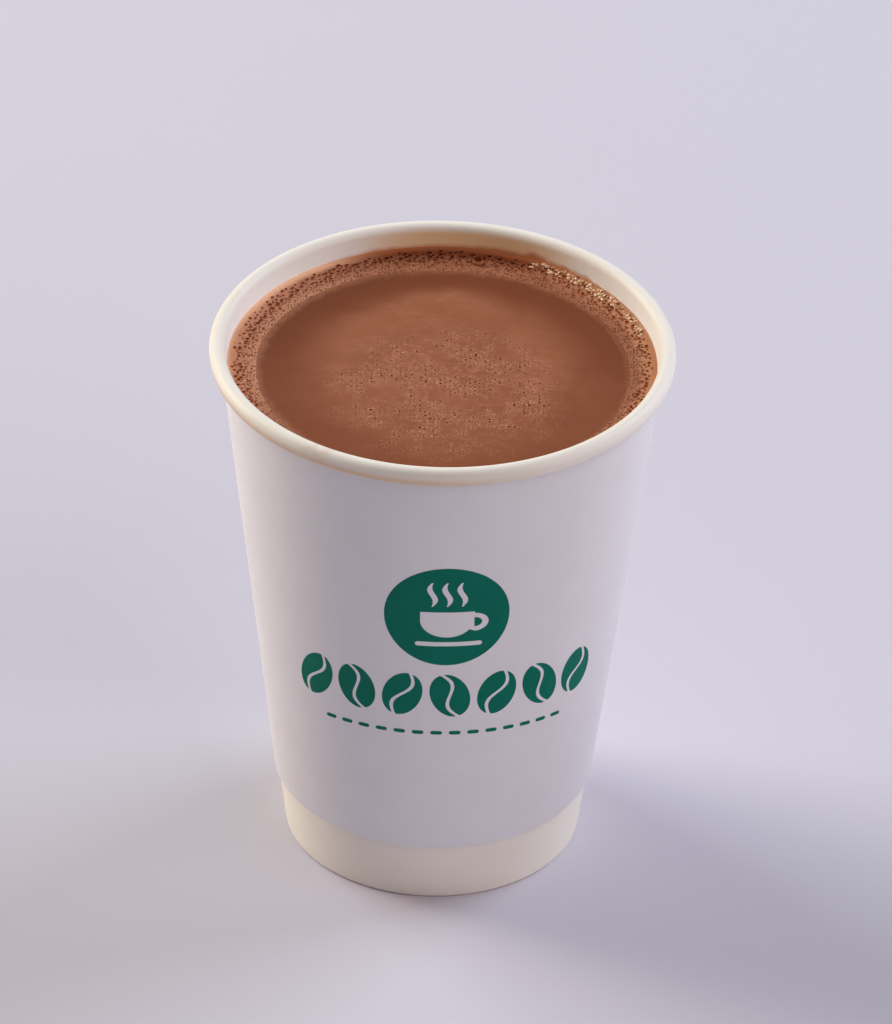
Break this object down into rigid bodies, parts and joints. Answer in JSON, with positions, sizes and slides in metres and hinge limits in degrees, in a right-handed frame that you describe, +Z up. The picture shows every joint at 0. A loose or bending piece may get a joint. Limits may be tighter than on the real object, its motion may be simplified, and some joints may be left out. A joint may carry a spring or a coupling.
{
  "type": "hot chocolate in a paper cup",
  "caption": "Hot chocolate with a ring of froth, in a tapered double-wall paper cup with a rolled rim and an outer sleeve.",
  "frame": {"origin": "centre of the foot, on the table plane", "axes": "+Z up along the cup's axis; -Y is the printed front, +Y is the lap of the sleeve at the back"},
  "size_m": [0.09, 0.09, 0.111],
  "materials": {
    "cup_paper": "satin",
    "disc_paper": "matte",
    "sleeve_paper": "matte",
    "hot_chocolate": "satin",
    "froth": "satin",
    "print_ink": "satin"
  },
  "bodies": {
    "root": {"inner_cup": "cup_paper", "bottom_disc": "disc_paper", "outer_sleeve": "sleeve_paper", "drink": "hot_chocolate", "froth": "froth"}
  },
  "joints": []
}
